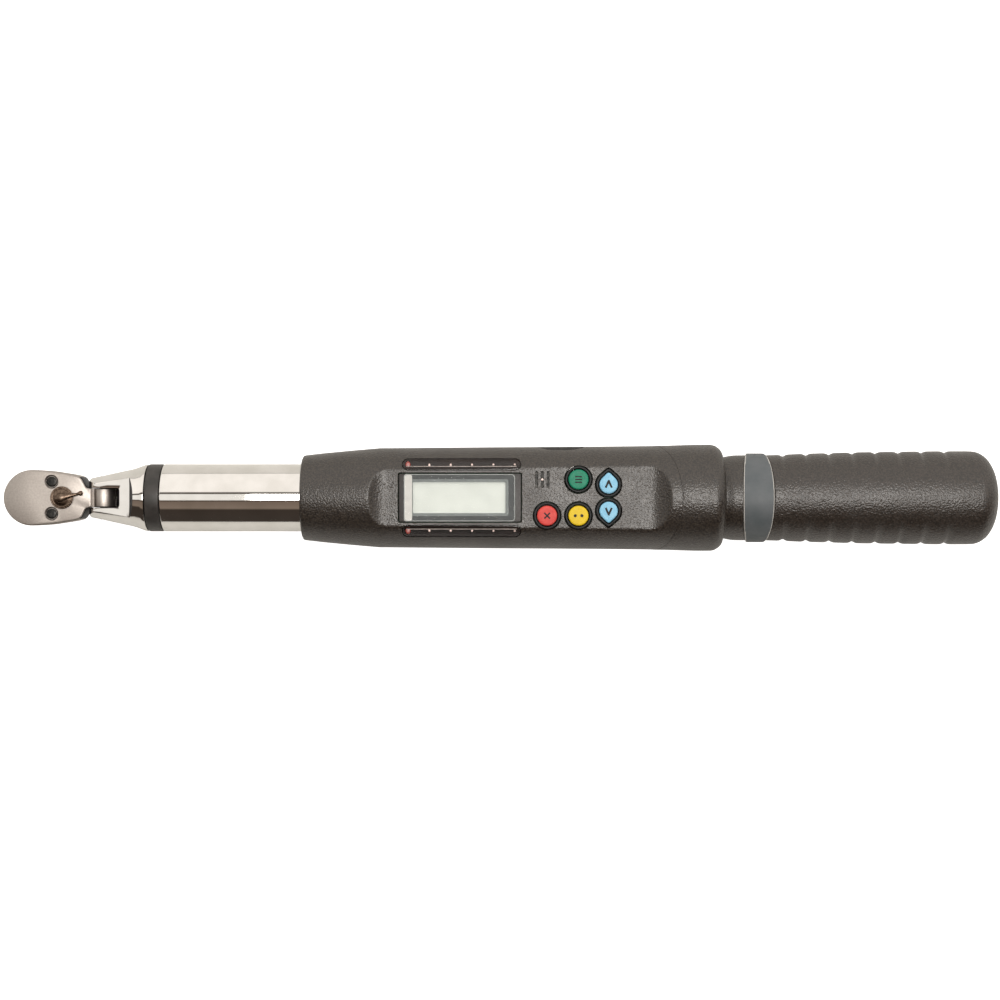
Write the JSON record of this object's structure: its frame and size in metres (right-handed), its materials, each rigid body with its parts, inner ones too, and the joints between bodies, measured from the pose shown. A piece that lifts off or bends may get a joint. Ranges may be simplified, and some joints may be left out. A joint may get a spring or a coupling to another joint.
{
  "type": "torque wrench",
  "caption": "Electronic torque wrench with a tilting ratchet head, square drive, chromed tube, display housing with keys, light ring and grip.",
  "frame": {"origin": "centre of the square drive's end face", "axes": "+X from the head along the tool to the grip, +Z towards the display side, so the square drive points along -Z"},
  "size_m": [0.3994, 0.0428, 0.0406],
  "materials": {
    "satin_steel": "satin brushed warm steel",
    "chrome": "polished chrome plate",
    "tool_steel": "ground steel",
    "black_steel": "black oxide",
    "spring_steel": "bright spring steel",
    "housing_plastic": "fine spark texture, dark charcoal brown",
    "black_rubber": "matte",
    "slate_plastic": "satin slate",
    "clear_plastic": "clear window",
    "lcd": "pale grey green display",
    "circuit_board": "solder mask",
    "smoked_plastic": "smoked translucent",
    "frosted_plastic": "frosted translucent",
    "green_rubber": "satin key",
    "red_rubber": "satin key",
    "yellow_rubber": "satin key",
    "blue_rubber": "satin key",
    "brass": "bare",
    "cell_wrap": "printed sleeve without lettering"
  },
  "bodies": {
    "root": {"fork_yoke": "chrome", "pivot_pin": "black_steel", "tilt_plunger": "tool_steel", "tilt_spring": "spring_steel", "isolation_ring": "black_rubber", "barrel_tube": "chrome", "strain_beam": "tool_steel", "strain_gauge_left": "brass", "strain_gauge_right": "brass", "sensor_ribbon": "brass", "core_bar": "tool_steel", "upper_housing": "housing_plastic", "lower_housing": "housing_plastic", "rear_collar": "housing_plastic", "data_port": "spring_steel", "display_bezel": "slate_plastic", "display_lens": "clear_plastic", "lcd_panel": "lcd", "main_board": "circuit_board", "buzzer": "black_steel", "keypad_mat": "black_rubber", "led_bar_left": "smoked_plastic", "led_bar_right": "smoked_plastic", "led_strip_left": "circuit_board", "led_strip_right": "circuit_board", "battery_1": "cell_wrap", "battery_2": "cell_wrap", "battery_3": "cell_wrap", "battery_4": "cell_wrap", "battery_contact_front": "spring_steel", "battery_contact_rear": "spring_steel", "housing_screw_1": "black_steel", "housing_screw_2": "black_steel", "housing_screw_3": "black_steel", "housing_screw_4": "black_steel", "light_ring": "frosted_plastic", "light_ring_board": "circuit_board", "grip": "housing_plastic"},
    "head": {"head_body": "satin_steel", "cover_plate": "satin_steel", "cover_screw_1": "black_steel", "cover_screw_2": "black_steel", "pawl_pin": "tool_steel"},
    "drive": {"drive_gear": "tool_steel", "ball_spring": "spring_steel"},
    "ball": {"detent_ball": "spring_steel"},
    "pawl": {"pawl": "tool_steel"},
    "lever": {"reversing_lever": "satin_steel", "lever_plunger": "tool_steel", "plunger_spring": "spring_steel"},
    "mode_key": {"mode_key": "green_rubber"},
    "clear_key": {"clear_key": "red_rubber"},
    "unit_key": {"unit_key": "yellow_rubber"},
    "up_key": {"up_key": "blue_rubber"},
    "down_key": {"down_key": "blue_rubber"},
    "port_cover": {"port_cover": "black_rubber"},
    "battery_door": {"battery_door": "housing_plastic"}
  },
  "joints": [
    {"name": "head_tilt", "type": "hinge", "parent": "root", "child": "head", "pos_m": [0.028, 0, 0.0153], "axis": [0, 1, 0], "range_deg": [-15, 15]},
    {"name": "drive_spin", "type": "hinge", "parent": "head", "child": "drive", "pos_m": [0, 0, 0.0153], "axis": [0, 0, 1], "continuous": true},
    {"name": "ball_press", "type": "slide", "parent": "drive", "child": "ball", "axis": [-1, 0, 0], "range_m": [0, 0.00045], "stiffness_N_per_m": 400, "deforming": ["ball_spring"]},
    {"name": "lever_turn", "type": "hinge", "parent": "head", "child": "lever", "pos_m": [0.0127, 0, 0.0153], "axis": [0, 0, 1], "range_deg": [-26, 0]},
    {"name": "pawl_rock", "type": "hinge", "parent": "head", "child": "pawl", "pos_m": [0.009, 0, 0.0153], "axis": [0, 0, 1], "range_deg": [-10.4, 0.4]},
    {"name": "mode_key_press", "type": "slide", "parent": "root", "child": "mode_key", "axis": [0, 0, -1], "range_m": [0, 0.0008], "stiffness_N_per_m": 600},
    {"name": "clear_key_press", "type": "slide", "parent": "root", "child": "clear_key", "axis": [0, 0, -1], "range_m": [0, 0.0008], "stiffness_N_per_m": 600},
    {"name": "unit_key_press", "type": "slide", "parent": "root", "child": "unit_key", "axis": [0, 0, -1], "range_m": [0, 0.0008], "stiffness_N_per_m": 600},
    {"name": "up_key_press", "type": "slide", "parent": "root", "child": "up_key", "axis": [0, 0, -1], "range_m": [0, 0.0008], "stiffness_N_per_m": 600},
    {"name": "down_key_press", "type": "slide", "parent": "root", "child": "down_key", "axis": [0, 0, -1], "range_m": [0, 0.0008], "stiffness_N_per_m": 600},
    {"name": "port_cover_open", "type": "hinge", "parent": "root", "child": "port_cover", "pos_m": [0.2032, 0.0208, 0.0153], "axis": [0, 0, 1], "range_deg": [0, 110]},
    {"name": "battery_door_open", "type": "hinge", "parent": "root", "child": "battery_door", "pos_m": [0.1434, 0, -0.0037], "axis": [0, 1, 0], "range_deg": [0, 95]}
  ],
  "couplings": [
    {"joint": "pawl_rock", "follows": "lever_turn", "ratio": 0.38461}
  ]
}
